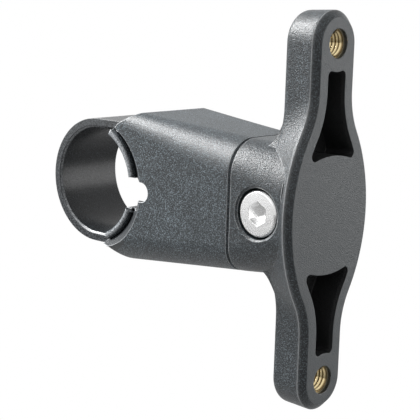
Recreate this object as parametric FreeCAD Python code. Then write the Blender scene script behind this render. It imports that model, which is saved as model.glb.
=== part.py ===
import FreeCAD, Part
import math
import os

from FreeCAD import Vector

# Bar clamp mount for a bottle cage, in millimetres.
# The origin is the centre of the bar, Y runs along the bar, X points out of the cage face, Z is up.

# Bar and strap
BAR_R = 11.1
STRAP_W = 16.5
STRAP_T = 1.85
SHOULDER_R = 12.0
STRAP_ROOM = 0.12
STRAP_EDGE = 0.4

# Tapered clamp body
SIDE_WALL = 3.7
BODY_WALL = 2.2
CAVITY_R = 3.0
ROOF = 2.55
BODY_RISE = 0.3
JOINT_HALF_H = 12.8
RING_CORNER_R = 2.2
JOINT_CORNER_R = 6.7
LOWER_CORNER_R = 5.4
LIP_X = 4.6
UPPER_EDGE_X = 10.1
LOWER_EDGE_X = 7.4
END_SLOPE = 0.6
COLLAR_T = 1.3
COLLAR_W = 0.6
COLLAR_FOOT = 0.35
COLLAR_GROOVE = 0.8
RELIEF_SHIFT = 3.35
RELIEF_R = 13.75
RELIEF_ROOM = 0.2
NOTCH_H = 4.0
NOTCH_DEPTH = 8.0
NOTCH_BACK = 2.0
NOTCH_SKIN = 1.4
NOTCH_FOOT = 4.3
JOINT_CHAMFER = 0.4

# Cage plate
REACH = 55.4
HOLE_PITCH = 64.0
PLATE_DROP = 0.45
PLATE_T = 8.2
ARM_HALF_W = 6.2
ARM_END = 6.1
MID_HALF_W = 12.6
MID_BACK_HALF_W = 10.4
ARM_DRAFT = 0.3
MID_R = 31.3
WAIST_R = 13.7
FACE_CHAMFER = 1.3
BACK_ROUND = 1.8
NECK_LEN = 14.9
NECK_TAPER = 0.6
NECK_CORNER_R = 8.8
FLARE_R = 2.6
FLARE_DEGREES = 72
SPIGOT_LEN = 1.5
SPIGOT_ROOM = 0.15

# Pockets in the cage face
POCKET_WALL = 2.25
POCKET_DEPTH = 6.6
POCKET_ROUND = 1.0
PAD_HALF_H = 11.3
PAD_R = 18.5
BOSS_R = 5.2

# Threaded inserts for the cage bolts
INSERT_R = 3.5
INSERT_BORE_R = 2.1
INSERT_LEN = 5.2
MOUTH_R = 2.76
MOUTH_DEPTH = 1.0
INSERT_GROOVE_W = 1.2
INSERT_GROOVE_D = 0.4

# Clamp bolt, its nut and the eyes of the strap
BOLT_SETBACK = 8.1
BOLT_R = 2.5
BOLT_LEN = 16.0
HEAD_R = 4.45
HEAD_H = 4.0
HEAD_SEAT = 7.7
HEAD_EDGE = 0.35
HEX_AF = 4.0
HEX_DEPTH = 2.6
HEAD_ROOM = 0.4
HEAD_MOUTH = 0.4
BOLT_ROOM = 0.2
THREAD_ROOM = 0.02
NUT_AF = 8.0
NUT_H = 4.0
NUT_ROOM = 0.1
EYE_R = 4.6
EYE_W = 2.0
EYE_GAP = 0.1
EYE_ROOM = 0.3

# Places that follow from the sizes above
strap_outer_r = BAR_R + STRAP_T
slot_half_w = STRAP_W / 2 + STRAP_ROOM
body_half_w = slot_half_w + SIDE_WALL
ring_half_h = strap_outer_r + ROOF
collar_half_w = slot_half_w + COLLAR_W
notch_x = BAR_R + NOTCH_DEPTH
saddle_back_x = notch_x + NOTCH_BACK
bend_x = (BAR_R + notch_x) / 2
joint_x = REACH - NECK_LEN
back_x = REACH - PLATE_T
bolt_x = REACH - BOLT_SETBACK
flare_turn = math.radians(FLARE_DEGREES)
flare_x = back_x - FLARE_R * math.sin(flare_turn)
hole_z = HOLE_PITCH / 2
hole_places = (hole_z - PLATE_DROP, -hole_z - PLATE_DROP)
eyes_half_w = EYE_W + EYE_GAP / 2
taper_start_x = saddle_back_x
taper_end_x = joint_x - SPIGOT_LEN - EYE_ROOM

# The tail of the strap leaves the shoulder and runs tangent to the eye on the bolt
tail_rise = BAR_R - SHOULDER_R
tail_hyp = math.hypot(bolt_x - bend_x, tail_rise)
tail_angle = math.asin((SHOULDER_R + STRAP_T - EYE_R) / tail_hyp) + math.atan2(tail_rise, bolt_x - bend_x)


def body_half_h(x):
    """Half height of the tapered body at the place x."""
    share = (x - BAR_R) / (joint_x - BAR_R)
    return ring_half_h + (JOINT_HALF_H - ring_half_h) * share


def tail_height(x):
    """Height of the strap tail's outer face at the place x."""
    return ((bolt_x - x) * math.sin(tail_angle) + EYE_R) / math.cos(tail_angle)


def arc(a, b, c):
    return Part.Arc(a, b, c).toShape()


def section(x, half_w, half_h, corner_r):
    """A rectangle with round corners, standing across X."""
    y = half_w - corner_r
    z = half_h - corner_r
    bow = corner_r * math.sqrt(0.5)

    def at(y, z):
        return Vector(x, y, z + BODY_RISE)

    return Part.Wire([
        Part.makeLine(at(half_w, -z), at(half_w, z)),
        arc(at(half_w, z), at(y + bow, z + bow), at(y, half_h)),
        Part.makeLine(at(y, half_h), at(-y, half_h)),
        arc(at(-y, half_h), at(-y - bow, z + bow), at(-half_w, z)),
        Part.makeLine(at(-half_w, z), at(-half_w, -z)),
        arc(at(-half_w, -z), at(-y - bow, -z - bow), at(-y, -half_h)),
        Part.makeLine(at(-y, -half_h), at(y, -half_h)),
        arc(at(y, -half_h), at(y + bow, -z - bow), at(half_w, -z)),
    ])


def loft(sections, ruled=False):
    return Part.makeLoft(sections, True, ruled)


def cylinder_y(x, z, r, y0, y1):
    return Part.makeCylinder(r, y1 - y0, Vector(x, y0, z), Vector(0, 1, 0))


def cylinder_x(y, z, r, x0, x1):
    return Part.makeCylinder(r, x1 - x0, Vector(x0, y, z), Vector(1, 0, 0))


def prism_y(corners, y0, y1):
    """A straight prism along Y with its corners given as (x, z)."""
    wire = Part.makePolygon([Vector(x, y0, z) for x, z in corners + corners[:1]])
    return Part.Face(wire).extrude(Vector(0, y1 - y0, 0))


def tapered_block(x0, x1, half_w, half_h0, half_h1):
    """A block along X with its height tapering from one end to the other."""
    return prism_y([
        (x0, BODY_RISE + half_h0),
        (x1, BODY_RISE + half_h1),
        (x1, BODY_RISE - half_h1),
        (x0, BODY_RISE - half_h0),
    ], -half_w, half_w)


def prism_z(corners, z0, z1):
    """A straight prism along Z with its corners given as (x, y)."""
    wire = Part.makePolygon([Vector(x, y, z0) for x, y in corners + corners[:1]])
    return Part.Face(wire).extrude(Vector(0, 0, z1 - z0))


def hexagon_y(x, z, across_flats, y0, y1):
    r = across_flats / math.sqrt(3)
    corners = []
    for i in range(6):
        a = math.radians(60 * i + 30)
        corners.append((x + r * math.cos(a), z + r * math.sin(a)))
    return prism_y(corners, y0, y1)


def strap_loop(outer_room, half_w):
    """The strap bent round the bar and over the shoulders, with both tails running to the eyes."""
    outer = STRAP_T + outer_room
    sin_a = math.sin(tail_angle)
    cos_a = math.cos(tail_angle)
    sin_h = math.sin(tail_angle / 2)
    cos_h = math.cos(tail_angle / 2)
    halves = []
    for side in (1, -1):
        def at(x, z):
            return Vector(x, -half_w, side * z)

        def bent(offset, s, c):
            return at(bend_x + (SHOULDER_R + offset) * s, tail_rise + (SHOULDER_R + offset) * c)

        def along(offset):
            return at(bolt_x + (EYE_R - STRAP_T + offset) * sin_a, (EYE_R - STRAP_T + offset) * cos_a)

        ring_in = math.sqrt(0.5) * BAR_R
        ring_out = math.sqrt(0.5) * (BAR_R + outer)
        edges = [
            arc(at(-BAR_R, 0), at(-ring_in, ring_in), at(0, BAR_R)),
            Part.makeLine(at(0, BAR_R), at(bend_x, BAR_R)),
            arc(bent(0, 0, 1), bent(0, sin_h, cos_h), bent(0, sin_a, cos_a)),
            Part.makeLine(bent(0, sin_a, cos_a), along(0)),
            Part.makeLine(along(0), along(outer)),
            Part.makeLine(along(outer), bent(outer, sin_a, cos_a)),
            arc(bent(outer, sin_a, cos_a), bent(outer, sin_h, cos_h), bent(outer, 0, 1)),
            Part.makeLine(at(bend_x, BAR_R + outer), at(0, BAR_R + outer)),
            arc(at(0, BAR_R + outer), at(-ring_out, ring_out), at(-BAR_R - outer, 0)),
            Part.makeLine(at(-BAR_R - outer, 0), at(-BAR_R, 0)),
        ]
        halves.append(Part.Face(Part.Wire(edges)).extrude(Vector(0, 2 * half_w, 0)))
    return halves


def plate_wire(x, inset=0, mid_half_w=MID_HALF_W):
    """The outline of the cage plate at the place x: two arms with round ends, swelling to a wide middle."""
    arm = ARM_HALF_W - inset
    end_z = hole_z + ARM_END - ARM_HALF_W
    mid_y = mid_half_w - MID_R
    waist_y = ARM_HALF_W + WAIST_R
    waist_z = math.sqrt((MID_R + WAIST_R) ** 2 - (waist_y - mid_y) ** 2)
    mid_r = MID_R - inset
    waist_r = WAIST_R + inset
    turn = math.atan2(waist_z, waist_y - mid_y)

    def at(y, z):
        return Vector(x, y, z - PLATE_DROP)

    join_y = mid_y + mid_r * math.cos(turn)
    join_z = mid_r * math.sin(turn)
    bow_a = (math.pi + math.pi + turn) / 2
    bow_y = waist_y + waist_r * math.cos(bow_a)
    bow_z = waist_z + waist_r * math.sin(bow_a)
    edges = [
        arc(at(join_y, -join_z), at(mid_y + mid_r, 0), at(join_y, join_z)),
        arc(at(join_y, join_z), at(bow_y, bow_z), at(arm, waist_z)),
        Part.makeLine(at(arm, waist_z), at(arm, end_z)),
        arc(at(arm, end_z), at(0, end_z + arm), at(-arm, end_z)),
        Part.makeLine(at(-arm, end_z), at(-arm, waist_z)),
        arc(at(-arm, waist_z), at(-bow_y, bow_z), at(-join_y, join_z)),
        arc(at(-join_y, join_z), at(-mid_y - mid_r, 0), at(-join_y, -join_z)),
        arc(at(-join_y, -join_z), at(-bow_y, -bow_z), at(-arm, -waist_z)),
        Part.makeLine(at(-arm, -waist_z), at(-arm, -end_z)),
        arc(at(-arm, -end_z), at(0, -end_z - arm), at(arm, -end_z)),
        Part.makeLine(at(arm, -end_z), at(arm, -waist_z)),
        arc(at(arm, -waist_z), at(bow_y, -bow_z), at(join_y, -join_z)),
    ]
    return Part.Wire(edges)


def edges_at_x(shape, x):
    return [e for e in shape.Edges if abs(e.BoundBox.XMin - x) < 1e-6 and abs(e.BoundBox.XMax - x) < 1e-6]


def edges_along_x(shape):
    return [e for e in shape.Edges if e.BoundBox.YLength < 1e-6 and e.BoundBox.ZLength < 1e-6]


def round_edges(shape, r):
    return [e for e in shape.Edges if e.Curve.TypeId == "Part::GeomCircle" and abs(e.Curve.Radius - r) < 1e-6]


def round_block(block, side, r0, r1):
    """Round the upper or the lower long edges of a tapered block, from r0 at its start to r1 at its end."""
    edges = [e for e in block.Edges if e.BoundBox.XLength > 1 and e.BoundBox.YLength < 1e-6]
    edges = [e for e in edges if side * (e.CenterOfMass.z - BODY_RISE) > 0]
    if r0 == r1:
        return block.makeFillet(r0, edges)
    if side > 0:
        return block.makeFillet(r0, r1, edges)
    return block.makeFillet(r1, r0, edges)


def save(name, shape):
    os.makedirs("parts", exist_ok=True)
    shape.removeSplitter().exportStep("parts/" + name + ".step")


# Clamp strap: a band round the bar, with one eye on each tail
upper, lower = strap_loop(0, STRAP_W / 2)
upper = upper.fuse(cylinder_y(bolt_x, 0, EYE_R, -STRAP_W / 2, STRAP_W / 2))
lower = lower.fuse(cylinder_y(bolt_x, 0, EYE_R, -STRAP_W / 2, STRAP_W / 2))
far = bolt_x + 2 * EYE_R
near = -2 * strap_outer_r
high = 2 * strap_outer_r
halves = []
for half, side in ((upper, -1), (lower, 1)):
    plan = [
        (near, -STRAP_W / 2),
        (taper_start_x, -STRAP_W / 2),
        (taper_end_x, min(side * EYE_GAP / 2, side * eyes_half_w)),
        (far, min(side * EYE_GAP / 2, side * eyes_half_w)),
        (far, max(side * EYE_GAP / 2, side * eyes_half_w)),
        (taper_end_x, max(side * EYE_GAP / 2, side * eyes_half_w)),
        (taper_start_x, STRAP_W / 2),
        (near, STRAP_W / 2),
    ]
    halves.append(half.common(prism_z(plan, -high, high)))
strap = halves[0].fuse(halves[1])
strap = strap.cut(cylinder_y(bolt_x, 0, BOLT_R + BOLT_ROOM, -STRAP_W, STRAP_W))
strap = strap.removeSplitter()
strap = strap.makeChamfer(STRAP_EDGE, round_edges(strap, BAR_R))
save("clamp_strap", strap)

# Clamp body: a hollow tapered moulding with a saddle for the bar
start_x = LIP_X - 2
body = tapered_block(start_x, joint_x, body_half_w, body_half_h(start_x), JOINT_HALF_H)
body = round_block(body, 1, RING_CORNER_R, JOINT_CORNER_R)
body = round_block(body, -1, LOWER_CORNER_R, LOWER_CORNER_R)
body = body.makeChamfer(JOINT_CHAMFER, edges_at_x(body, joint_x))
cavity_half_h = JOINT_HALF_H - BODY_WALL
cavity_back_half_h = body_half_h(saddle_back_x) - BODY_WALL
cavity = tapered_block(saddle_back_x, joint_x, slot_half_w, cavity_back_half_h, cavity_half_h)
for side in (1, -1):
    cavity = round_block(cavity, side, CAVITY_R, CAVITY_R)
body = body.cut(cavity)
collar_r = BAR_R + COLLAR_T
edge_z = strap_outer_r + STRAP_ROOM
foot_z = collar_r + COLLAR_FOOT
rise = 2 * ROOF
upper_end = [
    (start_x - 1, BAR_R),
    (UPPER_EDGE_X - STRAP_T, BAR_R),
    (UPPER_EDGE_X, edge_z),
    (UPPER_EDGE_X + rise / END_SLOPE, edge_z + rise),
    (start_x - 1, edge_z + rise),
]
lower_end = [
    (start_x - 1, -foot_z),
    (LOWER_EDGE_X, -foot_z),
    (LOWER_EDGE_X + rise / END_SLOPE, -foot_z - rise),
    (start_x - 1, -foot_z - rise),
]
front = [(start_x - 1, -2 * high), (LIP_X, -2 * high), (LIP_X, 2 * high), (start_x - 1, 2 * high)]
for corners in (upper_end, lower_end, front):
    body = body.cut(prism_y(corners, -high, high))
body = body.cut(cylinder_y(0, 0, BAR_R, -high, high))
for half in strap_loop(STRAP_ROOM, slot_half_w):
    body = body.cut(half)
for side in (1, -1):
    out = Vector(0, side, 0)
    relief_y = side * (body_half_w + RELIEF_ROOM)
    inner = Part.makeCircle(collar_r, Vector(0, side * (collar_half_w - COLLAR_GROOVE), 0), out)
    outer = Part.makeCircle(RELIEF_R, Vector(RELIEF_SHIFT, relief_y, 0), out)
    relief = loft([Part.Wire(inner), Part.Wire(outer)], True)
    collar = cylinder_y(0, 0, collar_r, -collar_half_w, collar_half_w)
    body = body.cut(relief.cut(collar))
notch_round = NOTCH_H / 2
notch = prism_y([
    (0, -notch_round),
    (notch_x - notch_round, -notch_round),
    (notch_x - notch_round, notch_round),
    (0, notch_round),
], -high, high)
notch = notch.fuse(cylinder_y(notch_x - notch_round, 0, notch_round, -high, high))
body = body.cut(notch)
gap_half_w = body_half_w - NOTCH_SKIN
gap = prism_y([
    (0, -NOTCH_FOOT),
    (notch_x, -NOTCH_FOOT),
    (notch_x, notch_round),
    (0, notch_round),
], -gap_half_w, gap_half_w)
body = body.cut(gap)
save("clamp_body", body)

# Cage plate: the flat plate with its arms, and the neck that meets the body
back_wire = plate_wire(back_x, ARM_DRAFT, MID_BACK_HALF_W)
rim_wire = plate_wire(REACH - FACE_CHAMFER)
sides = loft([back_wire, rim_wire], True)
sides = sides.makeFillet(BACK_ROUND, edges_at_x(sides, back_x))
band = loft([rim_wire, plate_wire(REACH, FACE_CHAMFER)], True)
neck_half_w = body_half_w - NECK_TAPER / 2
neck_half_h = JOINT_HALF_H - NECK_TAPER
neck = tapered_block(joint_x, REACH - FACE_CHAMFER - 1, body_half_w, JOINT_HALF_H, neck_half_h)
neck = round_block(neck, 1, JOINT_CORNER_R, NECK_CORNER_R)
neck = round_block(neck, -1, LOWER_CORNER_R, NECK_CORNER_R)
neck = neck.makeChamfer(JOINT_CHAMFER, edges_at_x(neck, joint_x))
flare_sections = []
for i in range(6):
    turn = flare_turn * i / 5
    grow = FLARE_R * (1 - math.cos(turn))
    place_x = flare_x + FLARE_R * math.sin(turn)
    flare_sections.append(section(place_x, neck_half_w, neck_half_h + grow, JOINT_CORNER_R))
flare = loft(flare_sections)
root_grow = grow + BACK_ROUND * math.tan(flare_turn)
root = loft([
    flare_sections[-1],
    section(back_x + BACK_ROUND, neck_half_w, neck_half_h + root_grow, JOINT_CORNER_R),
], True)
flare_room = Part.Face(plate_wire(flare_x, ARM_DRAFT, MID_BACK_HALF_W))
flare = flare.fuse(root).common(flare_room.extrude(Vector(back_x + BACK_ROUND - flare_x, 0, 0)))
spigot_half_w = slot_half_w - SPIGOT_ROOM
spigot_half_h = cavity_half_h - SPIGOT_ROOM
spigot = Part.Face(section(joint_x - SPIGOT_LEN, spigot_half_w, spigot_half_h, CAVITY_R - SPIGOT_ROOM))
spigot = spigot.extrude(Vector(2 * SPIGOT_LEN, 0, 0))
plate = sides.fuse([band, neck, flare, spigot])

# Pockets that lighten the plate above and below the middle pad
floor_x = REACH - POCKET_DEPTH
pocket_wire = plate_wire(floor_x, FACE_CHAMFER + POCKET_WALL)
pocket_room = Part.Face(pocket_wire).extrude(Vector(POCKET_DEPTH + 1, 0, 0))
for side in (1, -1):
    half_z = min(0, side * hole_z) - PLATE_DROP
    half = Part.makeBox(PLATE_T + 2, 2 * MID_HALF_W, hole_z, Vector(floor_x - 1, -MID_HALF_W, half_z))
    pocket = pocket_room.common(half)
    pad_z = side * (PAD_HALF_H - PAD_R) - PLATE_DROP
    pocket = pocket.cut(cylinder_x(0, pad_z, PAD_R, floor_x - 1, REACH + 2))
    pocket = pocket.cut(cylinder_x(0, side * hole_z - PLATE_DROP, BOSS_R, floor_x - 1, REACH + 2))
    pocket = pocket.makeFillet(POCKET_ROUND, edges_along_x(pocket))
    plate = plate.cut(pocket)

# Seats of the two inserts, open through the back for a longer cage bolt
insert_x = REACH - MOUTH_DEPTH - INSERT_LEN
for z in hole_places:
    plate = plate.cut(cylinder_x(0, z, MOUTH_R, back_x - 1, REACH + 1))
    plate = plate.cut(cylinder_x(0, z, INSERT_R, insert_x, insert_x + INSERT_LEN))

# Slot for the strap eyes, the bolt hole, the counterbore for its head and the pocket for its nut
slot_half = eyes_half_w + EYE_ROOM
slot_start = joint_x - SPIGOT_LEN - 1
slot = prism_y([
    (slot_start, -tail_height(slot_start) - EYE_ROOM),
    (bolt_x, -EYE_R - EYE_ROOM),
    (bolt_x, EYE_R + EYE_ROOM),
    (slot_start, tail_height(slot_start) + EYE_ROOM),
], -slot_half, slot_half)
slot = slot.fuse(cylinder_y(bolt_x, 0, EYE_R + EYE_ROOM, -slot_half, slot_half))
nut_seat = BOLT_LEN - HEAD_SEAT - NUT_H
plate = plate.cut(slot)
plate = plate.cut(cylinder_y(bolt_x, 0, BOLT_R + BOLT_ROOM, -body_half_w, body_half_w))
counter_r = HEAD_R + HEAD_ROOM
mouth_r = counter_r + 2 * HEAD_MOUTH
mouth_foot = Vector(bolt_x, HEAD_MOUTH - body_half_w, 0)
mouth = Part.makeCone(counter_r, mouth_r, 2 * HEAD_MOUTH, mouth_foot, Vector(0, -1, 0))
plate = plate.cut(cylinder_y(bolt_x, 0, counter_r, -2 * body_half_w, -HEAD_SEAT))
plate = plate.cut(mouth)
plate = plate.cut(hexagon_y(bolt_x, 0, NUT_AF + 2 * NUT_ROOM, nut_seat, 2 * body_half_w))
save("cage_plate", plate)

# Brass inserts moulded into the ends of the plate, with a grip groove round each
groove_x = insert_x + (INSERT_LEN - INSERT_GROOVE_W) / 2
for name, z in zip(("upper_insert", "lower_insert"), hole_places):
    insert = cylinder_x(0, z, INSERT_R, insert_x, insert_x + INSERT_LEN)
    groove = cylinder_x(0, z, INSERT_R + 1, groove_x, groove_x + INSERT_GROOVE_W)
    groove = groove.cut(cylinder_x(0, z, INSERT_R - INSERT_GROOVE_D, groove_x, groove_x + INSERT_GROOVE_W))
    insert = insert.cut(groove)
    insert = insert.cut(cylinder_x(0, z, INSERT_BORE_R, insert_x - 1, REACH))
    save(name, insert)

# Clamp bolt with a hexagon socket
head_y = -HEAD_SEAT - HEAD_H
bolt = cylinder_y(bolt_x, 0, HEAD_R, head_y, -HEAD_SEAT)
head_rim = [e for e in bolt.Edges if abs(e.BoundBox.YMin - head_y) < 1e-6 and e.BoundBox.YLength < 1e-6]
bolt = bolt.makeChamfer(HEAD_EDGE, head_rim)
bolt = bolt.fuse(cylinder_y(bolt_x, 0, BOLT_R, -HEAD_SEAT, BOLT_LEN - HEAD_SEAT))
bolt = bolt.cut(hexagon_y(bolt_x, 0, HEX_AF, head_y - 1, head_y + HEX_DEPTH))
save("clamp_bolt", bolt)

# Captive nut on the far side
nut = hexagon_y(bolt_x, 0, NUT_AF, nut_seat, nut_seat + NUT_H)
nut = nut.cut(cylinder_y(bolt_x, 0, BOLT_R + THREAD_ROOM, nut_seat - 1, nut_seat + NUT_H + 1))
save("clamp_nut", nut)
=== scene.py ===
import math

import bmesh
import bpy
from mathutils import Matrix, Vector


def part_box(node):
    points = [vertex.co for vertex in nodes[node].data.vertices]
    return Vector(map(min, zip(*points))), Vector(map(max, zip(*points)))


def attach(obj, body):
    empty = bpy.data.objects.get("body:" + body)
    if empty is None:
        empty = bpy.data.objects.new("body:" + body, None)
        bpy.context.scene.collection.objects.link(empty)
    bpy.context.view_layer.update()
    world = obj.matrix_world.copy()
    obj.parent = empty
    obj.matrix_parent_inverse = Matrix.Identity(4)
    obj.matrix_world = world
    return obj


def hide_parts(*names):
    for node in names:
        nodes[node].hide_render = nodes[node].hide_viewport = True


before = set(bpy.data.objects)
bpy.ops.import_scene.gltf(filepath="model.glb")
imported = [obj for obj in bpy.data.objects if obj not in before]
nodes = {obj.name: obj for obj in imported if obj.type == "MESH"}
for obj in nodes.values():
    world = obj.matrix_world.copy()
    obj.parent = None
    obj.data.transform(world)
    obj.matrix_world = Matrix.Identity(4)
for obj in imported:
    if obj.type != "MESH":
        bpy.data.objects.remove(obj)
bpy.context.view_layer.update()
scene = bpy.context.scene
MM = 0.001

# Places taken from the solids, in metres
plate_low, plate_high = (Vector(corner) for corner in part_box("cage_plate"))
body_high = Vector(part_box("clamp_body")[1])
strap_high = Vector(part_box("clamp_strap")[1])
bolt_low, bolt_high = (Vector(corner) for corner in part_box("clamp_bolt"))
insert_low, insert_high = (Vector(corner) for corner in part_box("upper_insert"))
bolt_middle = (bolt_low + bolt_high) / 2
FACE_X = plate_high.x
PLATE_Z = (plate_low.z + plate_high.z) / 2
HOLE_Z = (insert_low.z + insert_high.z) / 2 - PLATE_Z
INSERT_R = (insert_high.y - insert_low.y) / 2

# A point this near to a face counts as on it
SKIN = 0.05 * MM

# Saddle of the body, strap, and bead on the saddle's collar
BAR_R = 11.1 * MM
SADDLE_X = 2.0 * MM
SADDLE_R = 15.2 * MM
SADDLE_INSET = 0.08 * MM
STRAP_EDGE = 0.45 * MM
STRAP_BEVEL = 0.3 * MM
BEAD_T = 1.8 * MM
BEAD_H = 1.1 * MM
BEAD_ROOT = 0.4 * MM
BEAD_SEAT_Y = 8.9 * MM
BEAD_SIDES = {"near": -1, "far": 1}
BEAD_DEGREES = {"upper": (10.6, 63.0), "lower": (-65.5, -23.0)}
BEAD_STEPS = 48
BEAD_CREST_STEPS = 12

# Cage plate: the flare at its neck, the sloping band round its face, and its pockets
NECK_FLARE_X = (FACE_X - 12 * MM, FACE_X - 5.5 * MM)
BAND_SOFT_X = (FACE_X - 3.4 * MM, FACE_X - 0.5 * MM)
BAND_EDGE_X = (FACE_X - 2.3 * MM, FACE_X - 0.7 * MM)
BAND_ROUND = 1.4 * MM
POCKET_X = (FACE_X - 6.7 * MM, FACE_X - SKIN)
POCKET_Z = (9.5 * MM, 29 * MM)
POCKET_HALF_W = 4.3 * MM
POCKET_FLARE = 0.42
POCKET_FLARE_Z = 18 * MM

# Socket of the bolt, and thread and outer wall of the inserts
SOCKET_R = 2.45 * MM
THREAD_PITCH = 0.8 * MM
THREAD_DEPTH = 0.45 * MM
THREAD_MINOR_R = 0.6 * INSERT_R
THREAD_MAJOR_R = THREAD_MINOR_R + THREAD_DEPTH
THREAD_MOUTH_SLOPE = 1.2
THREAD_SIDES = 72
THREAD_STEPS = 78
INSERT_CHAMFER = 0.1 * INSERT_R
INSERT_GROOVE = (0.38, 0.62)
INSERT_GROOVE_SLOPE = 0.1 * MM

# Colours that several finishes share
CHARCOAL = (0.005, 0.007, 0.009)
# Near white of the edges: partly real rubbing, partly a painted glint
WEAR_AND_GLINT_COLOUR = (0.74, 0.76, 0.78)

# Specks, shares of painted shade and painted light, and the rubbed and glinting edges of the polymers
SPECK_GAIN = 5.0
SADDLE_SHADE_SHARE = 0.9
FACE_SHARE = 0.75
BAND_GLINT = 0.28
WEAR_AND_GLINT_ROOM = 0.6 * MM
EDGE_SAMPLES = 8

# Edges and turning marks of the metals
METAL_EDGE = 0.15 * MM
TURNING_DEPTH = 0.01 * MM
TURNING_STRENGTH = 0.35

# Fineness of each texture, in cells a metre
SPECK_SCALE = 5000
FINE_SCALE = 4600
CLOUD_SCALE = 120
RIM_SCALE = 3900
CREST_HIGHLIGHT_SCALE = 3600
SMUDGE_SCALE = 900
TURNING_SCALE = 7000

# Numbers of a Mix node's two inputs and its output, by data type
MIX_SOCKETS = {"RGBA": (6, 7, 2), "VECTOR": (4, 5, 1)}


# Node helpers
def new_material(name):
    material = bpy.data.materials.new(name)
    material.use_nodes = True
    tree = material.node_tree
    return material, tree, tree.nodes["Principled BSDF"]


def add(tree, kind, **values):
    """A new node, with each value set on its socket or, where it has no such socket, as a property."""
    node = tree.nodes.new(kind)
    for key, value in values.items():
        if key in node.inputs:
            node.inputs[key].default_value = value
        else:
            setattr(node, key, value)
    return node


def own_place(tree):
    """The point's place in the part's own metres."""
    return add(tree, "ShaderNodeTexCoord").outputs["Object"]


def own_axes(tree):
    """The point's place along each axis."""
    xyz = add(tree, "ShaderNodeSeparateXYZ")
    tree.links.new(own_place(tree), xyz.inputs["Vector"])
    return xyz.outputs["X"], xyz.outputs["Y"], xyz.outputs["Z"]


def noise(tree, scale, detail=2.0):
    texture = add(tree, "ShaderNodeTexNoise", Scale=scale, Detail=detail)
    tree.links.new(own_place(tree), texture.inputs["Vector"])
    return texture.outputs["Fac"]


def ramp(tree, value, stops):
    """Turn the value into a colour or a grey, from stops of place and colour."""
    node = add(tree, "ShaderNodeValToRGB")
    elements = node.color_ramp.elements
    while len(elements) < len(stops):
        elements.new(0.5)
    for element, (place, colour) in zip(elements, stops):
        element.position = place
        element.color = (*colour, 1) if isinstance(colour, tuple) else (colour, colour, colour, 1)
    tree.links.new(value, node.inputs["Fac"])
    return node.outputs["Color"]


def calc(tree, operation, *values):
    node = add(tree, "ShaderNodeMath", operation=operation)
    for socket, value in zip(node.inputs, values):
        if isinstance(value, (int, float)):
            socket.default_value = value
        else:
            tree.links.new(value, socket)
    return node.outputs["Value"]


def mix(tree, share, a, b, data_type="RGBA"):
    """Go from a to b by the share, where each is a socket or a plain colour."""
    first, second, result = MIX_SOCKETS[data_type]
    node = add(tree, "ShaderNodeMix", data_type=data_type)
    tree.links.new(share, node.inputs["Factor"])
    for socket, value in ((node.inputs[first], a), (node.inputs[second], b)):
        if isinstance(value, tuple):
            socket.default_value = (*value, 1)
        else:
            tree.links.new(value, socket)
    return node.outputs[result]


def between(tree, value, low, high):
    """One where the value lies between low and high, and zero elsewhere."""
    above = calc(tree, "GREATER_THAN", value, low)
    return calc(tree, "MULTIPLY", above, calc(tree, "LESS_THAN", value, high))


def distance(tree, a, b):
    """How far a point lies from an axis, from its two offsets."""
    squares = calc(tree, "ADD", calc(tree, "POWER", a, 2.0), calc(tree, "POWER", b, 2.0))
    return calc(tree, "SQRT", squares)


def soft_edges(tree, radius):
    """The surface's normal, turned a little over each sharp edge."""
    return add(tree, "ShaderNodeBevel", samples=EDGE_SAMPLES, Radius=radius).outputs["Normal"]


def worn_and_glinting_edges(tree, turned):
    """One along each outward edge, where edges are lightened partly as real rubbing and partly as a painted
    glint, and zero on flats and in inner corners.
    """
    dot = add(tree, "ShaderNodeVectorMath", operation="DOT_PRODUCT")
    tree.links.new(turned, dot.inputs[0])
    tree.links.new(add(tree, "ShaderNodeNewGeometry").outputs["Normal"], dot.inputs[1])
    turn = calc(tree, "SUBTRACT", 1.0, dot.outputs["Value"])
    edge = ramp(tree, turn, [(0.01, 0.0), (0.10, 1.0)])
    room = add(
        tree, "ShaderNodeAmbientOcclusion", samples=EDGE_SAMPLES, only_local=True, Distance=WEAR_AND_GLINT_ROOM)
    outward = ramp(tree, room.outputs["AO"], [(0.5, 0.0), (0.7, 1.0)])
    return calc(tree, "MULTIPLY", edge, outward)


def vary_roughness(tree, shader, texture, rough, spread):
    roughness = ramp(tree, texture, [(0.3, rough - spread), (0.7, rough + spread)])
    tree.links.new(roughness, shader.inputs["Roughness"])


def bump(tree, shader, texture, height, strength, normal):
    node = add(tree, "ShaderNodeBump", Strength=strength, Distance=height)
    tree.links.new(texture, node.inputs["Height"])
    tree.links.new(normal, node.inputs["Normal"])
    tree.links.new(node.outputs["Normal"], shader.inputs["Normal"])


# Kinds of finish
def polymer(name, dark, light, rough, grain, edge, wear_and_glint, shade=None, no_wear_or_glint=None):
    """Moulded polymer with fine specks and grain, and edges lightened partly as real rubbing and partly as
    a painted glint, outside the range of X that is left plain.
    """
    material, tree, shader = new_material(name)
    bright = tuple(SPECK_GAIN * channel for channel in light)
    colour = ramp(tree, noise(tree, SPECK_SCALE), [(0.40, dark), (0.54, light), (0.68, bright)])
    cloud = ramp(tree, noise(tree, CLOUD_SCALE, detail=4), [(0.3, 0.0), (0.7, 0.35)])
    colour = mix(tree, cloud, colour, dark)
    if shade:
        colour = shade(tree, colour)
    turned = soft_edges(tree, edge)
    wear_and_glint_share = calc(tree, "MULTIPLY", worn_and_glinting_edges(tree, turned), wear_and_glint)
    if no_wear_or_glint:
        x, _, _ = own_axes(tree)
        kept = calc(tree, "SUBTRACT", 1.0, between(tree, x, *no_wear_or_glint))
        wear_and_glint_share = calc(tree, "MULTIPLY", wear_and_glint_share, kept)
    # Edges lightened, partly as real rubbing and partly as a painted glint
    colour = mix(tree, wear_and_glint_share, colour, WEAR_AND_GLINT_COLOUR)
    fine = noise(tree, FINE_SCALE)
    vary_roughness(tree, shader, fine, rough, spread=0.07)
    bump(tree, shader, fine, grain, 1.0, turned)
    return material, tree, shader, colour


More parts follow.
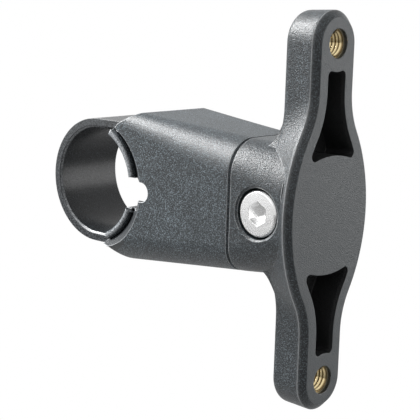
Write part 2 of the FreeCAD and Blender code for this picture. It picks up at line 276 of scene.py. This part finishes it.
def soften(tree, shader, radius, x_range):
    """Turn the normal over wider edges where X lies in the range, and give that wider turn."""
    grain = shader.inputs["Normal"].links[0].from_node
    narrow = grain.inputs["Normal"].links[0].from_socket
    wide = soft_edges(tree, radius)
    x, _, _ = own_axes(tree)
    normal = mix(tree, between(tree, x, *x_range), narrow, wide, data_type="VECTOR")
    tree.links.new(normal, grain.inputs["Normal"])
    return wide


def metal(name, dark, light, rough):
    """Plated metal with fine turning marks and faint handling smudges."""
    material, tree, shader = new_material(name)
    shader.inputs["Metallic"].default_value = 1.0
    colour = mix(tree, noise(tree, SMUDGE_SCALE, detail=4), dark, light)
    fine = noise(tree, TURNING_SCALE)
    vary_roughness(tree, shader, fine, rough, spread=0.06)
    bump(tree, shader, fine, TURNING_DEPTH, TURNING_STRENGTH, soft_edges(tree, METAL_EDGE))
    return material, tree, shader, colour


# Clamp body, speckled outside, with painted shade in the saddle
def painted_saddle_shade(tree, colour):
    """The saddle and the relief beside it are painted plainer and darker than the body's outside, as
    painted shade.
    """
    x, y, z = own_axes(tree)
    from_axis = distance(tree, calc(tree, "SUBTRACT", x, SADDLE_X), z)
    near = calc(tree, "LESS_THAN", from_axis, SADDLE_R)
    inside = calc(tree, "LESS_THAN", calc(tree, "ABSOLUTE", y), body_high.y - SADDLE_INSET)
    saddle = calc(tree, "MULTIPLY", near, inside)
    # Saddle mixed towards a dark flat grey, as painted shade
    return mix(tree, calc(tree, "MULTIPLY", saddle, SADDLE_SHADE_SHARE), colour, (0.022, 0.025, 0.028))


def body_finish():
    material, tree, shader, colour = polymer(
        "body_polymer", dark=CHARCOAL, light=(0.039, 0.048, 0.054), rough=0.40,
        grain=0.06 * MM, edge=0.25 * MM, wear_and_glint=0.75, shade=painted_saddle_shade)
    tree.links.new(colour, shader.inputs["Base Color"])
    return material


# Clamp strap, nearly smooth and black, with a speckled rim and a painted glint line on its inner chamfer
def strap_finish():
    material, tree, shader, colour = polymer(
        "strap_polymer", dark=(0.006, 0.007, 0.008), light=(0.014, 0.016, 0.018), rough=0.28,
        grain=0.02 * MM, edge=0.2 * MM, wear_and_glint=0.6)
    x, y, z = own_axes(tree)
    on_rim = calc(tree, "GREATER_THAN", calc(tree, "ABSOLUTE", y), strap_high.y - STRAP_EDGE)
    on_bevel = calc(tree, "LESS_THAN", distance(tree, x, z), BAR_R + STRAP_BEVEL)
    speck = noise(tree, RIM_SCALE)
    rim = ramp(tree, speck, [(0.42, (0.007, 0.008, 0.009)), (0.70, (0.11, 0.12, 0.13))])
    # Inner chamfer painted light grey, as a painted glint line
    bevel = ramp(tree, speck, [(0.38, (0.05, 0.055, 0.06)), (0.66, (0.27, 0.28, 0.29))])
    colour = mix(tree, on_rim, colour, mix(tree, on_bevel, rim, bevel))
    tree.links.new(colour, shader.inputs["Base Color"])
    shader.inputs["Specular IOR Level"].default_value = 0.35
    return material


# Bead on the saddle's collar, with a painted highlight along its crest
def bead_finish():
    material, tree, shader, colour = polymer(
        "bead_polymer", dark=CHARCOAL, light=(0.030, 0.036, 0.040), rough=0.26,
        grain=0.05 * MM, edge=0.2 * MM, wear_and_glint=0.5)
    _, y, _ = own_axes(tree)
    above_seat = calc(tree, "SUBTRACT", calc(tree, "ABSOLUTE", y), BEAD_SEAT_Y)
    crest = ramp(tree, calc(tree, "DIVIDE", above_seat, BEAD_H), [(0.70, 0.0), (0.97, 0.80)])
    texture = noise(tree, CREST_HIGHLIGHT_SCALE, detail=3)
    # Painted highlight, speckled, along the crest of the bead
    crest_highlight = ramp(tree, texture, [(0.36, (0.07, 0.08, 0.09)), (0.62, (0.42, 0.44, 0.46))])
    tree.links.new(mix(tree, crest, colour, crest_highlight), shader.inputs["Base Color"])
    return material


# Cage plate, with a painted glint line round its band, a plainer face painted lighter as painted light, and
# pockets painted flat and dark as painted shade
def painted_pocket_shade(tree, x, y, z):
    """One on the walls and floors of both pockets, where painted shade goes; the pockets widen towards the
    middle of the plate.
    """
    along = calc(tree, "ABSOLUTE", calc(tree, "SUBTRACT", z, PLATE_Z))
    flare = calc(tree, "MAXIMUM", calc(tree, "SUBTRACT", POCKET_FLARE_Z, along), 0.0)
    half_w = calc(tree, "MULTIPLY_ADD", flare, POCKET_FLARE, POCKET_HALF_W)
    within = calc(tree, "LESS_THAN", calc(tree, "ABSOLUTE", y), half_w)
    within = calc(tree, "MULTIPLY", between(tree, along, *POCKET_Z), within)
    return calc(tree, "MULTIPLY", between(tree, x, *POCKET_X), within)


def plate_finish():
    material, tree, shader, colour = polymer(
        "plate_polymer", dark=CHARCOAL, light=(0.029, 0.035, 0.039), rough=0.33,
        grain=0.10 * MM, edge=0.25 * MM, wear_and_glint=0.75, no_wear_or_glint=NECK_FLARE_X)
    rounded = soften(tree, shader, BAND_ROUND, BAND_SOFT_X)
    x, y, z = own_axes(tree)
    # A painted glint line along the edge between side and band
    on_band_edge = calc(tree, "MULTIPLY", between(tree, x, *BAND_EDGE_X), BAND_GLINT)
    band_glint = calc(tree, "MULTIPLY", worn_and_glinting_edges(tree, rounded), on_band_edge)
    colour = mix(tree, band_glint, colour, WEAR_AND_GLINT_COLOUR)
    # The face plainer, with fewer specks, and painted lighter as painted light from the front
    on_face = calc(tree, "GREATER_THAN", x, FACE_X - SKIN)
    colour = mix(tree, calc(tree, "MULTIPLY", on_face, FACE_SHARE), colour, (0.050, 0.060, 0.066))
    # Pockets painted flat and dark, as painted shade
    colour = mix(tree, painted_pocket_shade(tree, x, y, z), colour, (0.030, 0.031, 0.032))
    tree.links.new(colour, shader.inputs["Base Color"])
    return material


# Nut of duller steel than the bolt
def nut_finish():
    material, tree, shader, colour = metal(
        "nut_steel", dark=(0.58, 0.58, 0.58), light=(0.72, 0.72, 0.72), rough=0.36)
    tree.links.new(colour, shader.inputs["Base Color"])
    return material


# Bolt of bright steel, with its socket painted brighter as a painted reflection
def bolt_finish():
    material, tree, shader, colour = metal(
        "bolt_steel", dark=(0.84, 0.84, 0.84), light=(0.93, 0.93, 0.93), rough=0.26)
    x, y, z = own_axes(tree)
    off_x = calc(tree, "SUBTRACT", x, bolt_middle.x)
    off_z = calc(tree, "SUBTRACT", z, bolt_middle.z)
    near_axis = calc(tree, "LESS_THAN", distance(tree, off_x, off_z), SOCKET_R)
    below_top = calc(tree, "GREATER_THAN", y, bolt_low.y + SKIN)
    socket_reflection = calc(tree, "MULTIPLY", near_axis, below_top)
    # The socket painted near white, as a painted reflection inside it
    tree.links.new(mix(tree, socket_reflection, colour, (0.97, 0.97, 0.97)), shader.inputs["Base Color"])
    return material


# Brass of the inserts, with painted shade in the roots of the thread
def brass_finish():
    material, tree, shader, colour = metal(
        "insert_brass", dark=(0.84, 0.67, 0.36), light=(0.98, 0.84, 0.52), rough=0.20)
    _, y, z = own_axes(tree)
    from_middle = calc(tree, "ABSOLUTE", calc(tree, "SUBTRACT", z, PLATE_Z))
    from_axis = distance(tree, y, calc(tree, "SUBTRACT", from_middle, HOLE_Z))
    depth = calc(tree, "DIVIDE", calc(tree, "SUBTRACT", from_axis, THREAD_MINOR_R), THREAD_DEPTH)
    root = ramp(tree, depth, [(0.45, 0.0), (0.80, 0.85)])
    in_thread = calc(tree, "LESS_THAN", from_axis, THREAD_MAJOR_R + SKIN)
    root = calc(tree, "MULTIPLY", root, in_thread)
    # Roots of the thread painted dark brown, as painted shade
    tree.links.new(mix(tree, root, colour, (0.13, 0.07, 0.02)), shader.inputs["Base Color"])
    return material


bead_polymer = bead_finish()
insert_brass = brass_finish()
FINISHES = {
    "cage_plate": plate_finish(),
    "clamp_body": body_finish(),
    "clamp_strap": strap_finish(),
    "clamp_bolt": bolt_finish(),
    "clamp_nut": nut_finish(),
    "upper_insert": insert_brass,
    "lower_insert": insert_brass,
}
for name, material in FINISHES.items():
    data = nodes[name].data
    data.materials.clear()
    data.materials.append(material)


# Meshes swept from a ring of points
def swept_faces(rings, points, closed):
    """Quads between rings of points, with the last ring joined to the first if closed."""
    faces = []
    for i in range(rings if closed else rings - 1):
        k = (i + 1) % rings
        for j in range(points):
            n = (j + 1) % points
            faces.append((i * points + j, k * points + j, k * points + n, i * points + n))
    return faces


def new_piece(name, verts, faces, material):
    """An object of these faces, with their normals turned outwards."""
    mesh = bpy.data.meshes.new(name)
    mesh.from_pydata(verts, [], faces)
    mesh.update()
    bm = bmesh.new()
    bm.from_mesh(mesh)
    bmesh.ops.recalc_face_normals(bm, faces=bm.faces)
    bm.to_mesh(mesh)
    bm.free()
    mesh.materials.append(material)
    piece = bpy.data.objects.new(name, mesh)
    scene.collection.objects.link(piece)
    return piece


# Brass inserts with a cut thread and a grip groove
def insert_profile(x0, x1, turn):
    """Points of X and radius round the wall of an insert, at a share of one turn of the thread."""
    length = x1 - x0
    profile = []
    for j in range(THREAD_STEPS + 1):
        x = x0 + length * j / THREAD_STEPS
        phase = (x / THREAD_PITCH - turn) % 1
        thread_r = THREAD_MINOR_R + THREAD_DEPTH * abs(2 * phase - 1)
        from_end = min(x1 - x, x - x0)
        profile.append((x, max(thread_r, THREAD_MAJOR_R - from_end * THREAD_MOUTH_SLOPE)))
    groove_low, groove_high = (x0 + share * length for share in INSERT_GROOVE)
    inner = INSERT_R - INSERT_CHAMFER
    return profile + [
        (x1, inner), (x1 - INSERT_CHAMFER, INSERT_R),
        (groove_high, INSERT_R), (groove_high - INSERT_GROOVE_SLOPE, inner),
        (groove_low + INSERT_GROOVE_SLOPE, inner), (groove_low, INSERT_R),
        (x0 + INSERT_CHAMFER, INSERT_R), (x0, inner),
    ]


def threaded_insert(name):
    low, high = (Vector(corner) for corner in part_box(name))
    middle = (low + high) / 2
    verts = []
    for i in range(THREAD_SIDES):
        turn = i / THREAD_SIDES
        across, up = math.cos(2 * math.pi * turn), math.sin(2 * math.pi * turn)
        for x, r in insert_profile(low.x, high.x, turn):
            verts.append((x, middle.y + r * across, middle.z + r * up))
    faces = swept_faces(THREAD_SIDES, len(verts) // THREAD_SIDES, closed=True)
    piece = new_piece(name + "_threaded", verts, faces, insert_brass)
    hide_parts(name)
    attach(piece, "root")


for name in ("upper_insert", "lower_insert"):
    threaded_insert(name)


# Rounded bead along each end of the saddle's collar
def bead_profile():
    """Points of radius and Y: a half round crest on a root that is sunk in the collar."""
    middle = BAR_R + BEAD_T / 2
    profile = []
    for j in range(BEAD_CREST_STEPS + 1):
        angle = math.pi * j / BEAD_CREST_STEPS
        profile.append((middle - math.cos(angle) * BEAD_T / 2, BEAD_SEAT_Y + math.sin(angle) * BEAD_H))
    for share in (0.8, 0.1):
        profile.append((BAR_R + share * BEAD_T, BEAD_SEAT_Y - BEAD_ROOT))
    return profile


def collar_bead(name, side, start, end):
    profile = bead_profile()
    points = len(profile)
    verts = []
    for i in range(BEAD_STEPS + 1):
        turn = math.radians(start + (end - start) * i / BEAD_STEPS)
        for r, y in profile:
            verts.append((r * math.cos(turn), side * y, r * math.sin(turn)))
    caps = [tuple(ring * points + j for j in range(points)) for ring in (0, BEAD_STEPS)]
    faces = caps + swept_faces(BEAD_STEPS + 1, points, closed=False)
    piece = new_piece(name, verts, faces, bead_polymer)
    for face in piece.data.polygons:
        face.use_smooth = len(face.vertices) == 4
    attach(piece, "root")


for side_name, side in BEAD_SIDES.items():
    for arc_name, degrees in BEAD_DEGREES.items():
        collar_bead("collar_bead_" + side_name + "_" + arc_name, side, *degrees)


# Camera at the photograph's angle, placed from the point of the cage face level with the bar
AZIMUTH = math.radians(41.98)
ELEVATION = math.radians(10.28)
ROLL = math.radians(1.80)
OFFSET = Vector((0.02254, 0.00062, 0.24321))
FOCAL_PIXELS = 1300
IMAGE_PIXELS = 420
SENSOR_WIDTH = 36
CLIP_START = 0.01
back = Vector((
    math.sin(AZIMUTH) * math.cos(ELEVATION),
    -math.cos(AZIMUTH) * math.cos(ELEVATION),
    math.sin(ELEVATION),
))
level = Vector((0, 0, 1)).cross(back).normalized()
upright = back.cross(level)
right = math.cos(ROLL) * level + math.sin(ROLL) * upright
up = math.cos(ROLL) * upright - math.sin(ROLL) * level
place = Vector((FACE_X, 0, 0)) - OFFSET.x * right + OFFSET.y * up + OFFSET.z * back
camera_data = bpy.data.cameras.new("camera")
camera_data.sensor_width = SENSOR_WIDTH
camera_data.lens = FOCAL_PIXELS / IMAGE_PIXELS * SENSOR_WIDTH
camera_data.clip_start = CLIP_START
camera = bpy.data.objects.new("camera", camera_data)
camera.matrix_world = Matrix((
    (right.x, up.x, back.x, place.x),
    (right.y, up.y, back.y, place.y),
    (right.z, up.z, back.z, place.z),
    (0, 0, 0, 1),
))
scene.collection.objects.link(camera)
scene.camera = camera

# Soft studio light, aimed near the middle of the part
LIGHT_AIM = Vector((0.03, 0, 0))


def softbox(name, place, size, power):
    data = bpy.data.lights.new(name, "AREA")
    data.shape = "RECTANGLE"
    data.size, data.size_y = size
    data.energy = power
    lamp = bpy.data.objects.new(name, data)
    lamp.location = place
    lamp.rotation_euler = (LIGHT_AIM - Vector(place)).to_track_quat("-Z", "Y").to_euler()
    scene.collection.objects.link(lamp)


softbox("top", place=(-0.34, -0.16, 0.34), size=(0.28, 0.28), power=6.5)
softbox("left", place=(-0.46, -0.51, 0.13), size=(0.40, 0.46), power=1.2)
softbox("near", place=(0.06, -0.46, 0.34), size=(0.22, 0.22), power=0.5)
softbox("right", place=(0.52, 0.55, 0.00), size=(0.45, 0.46), power=1.8)

# White surroundings, dimmer where they light the part than where they are seen or mirrored
AMBIENT = 0.27
MIRRORED = 0.8
world = bpy.data.worlds.new("studio")
scene.world = world
world.use_nodes = True
tree = world.node_tree
background = tree.nodes["Background"]
background.inputs["Color"].default_value = (1, 1, 1, 1)
path = add(tree, "ShaderNodeLightPath")
mirrored = calc(tree, "MULTIPLY", path.outputs["Is Glossy Ray"], MIRRORED)
shown = calc(tree, "MAXIMUM", path.outputs["Is Camera Ray"], mirrored)
strength = calc(tree, "MULTIPLY_ADD", shown, 1 - AMBIENT, AMBIENT)
tree.links.new(strength, background.inputs["Strength"])

# Pale floor, white away from the part and keeping the shadow below it
FLOOR_Z = -0.24
FLOOR_HALF = 2.0
FLOOR_GREY = 0.45
SHADOW_REACH = 0.27
WHITE_REACH = 0.38
WHITE_IN_SHADOW = 0.45
floor_material, tree, shader = new_material("pale_floor")
shader.inputs["Base Color"].default_value = (FLOOR_GREY, FLOOR_GREY, FLOOR_GREY, 1)
shader.inputs["Roughness"].default_value = 0.9
shader.inputs["Specular IOR Level"].default_value = 0.1
reach = add(tree, "ShaderNodeVectorMath", operation="LENGTH")
tree.links.new(own_place(tree), reach.inputs[0])
white = ramp(tree, reach.outputs["Value"], [(SHADOW_REACH, WHITE_IN_SHADOW), (WHITE_REACH, 1.0)])
path = add(tree, "ShaderNodeLightPath")
seen = calc(tree, "MULTIPLY", path.outputs["Is Camera Ray"], white)
glow = add(tree, "ShaderNodeEmission")
blend = add(tree, "ShaderNodeMixShader")
tree.links.new(seen, blend.inputs["Fac"])
tree.links.new(shader.outputs["BSDF"], blend.inputs[1])
tree.links.new(glow.outputs["Emission"], blend.inputs[2])
tree.links.new(blend.outputs["Shader"], tree.nodes["Material Output"].inputs["Surface"])
corners = [(-1, -1), (1, -1), (1, 1), (-1, 1)]
floor_points = [(x * FLOOR_HALF, y * FLOOR_HALF, FLOOR_Z) for x, y in corners]
floor_mesh = bpy.data.meshes.new("floor")
floor_mesh.from_pydata(floor_points, [], [(0, 1, 2, 3)])
floor_mesh.materials.append(floor_material)
floor = bpy.data.objects.new("floor", floor_mesh)
scene.collection.objects.link(floor)

scene.view_settings.view_transform = "Standard"
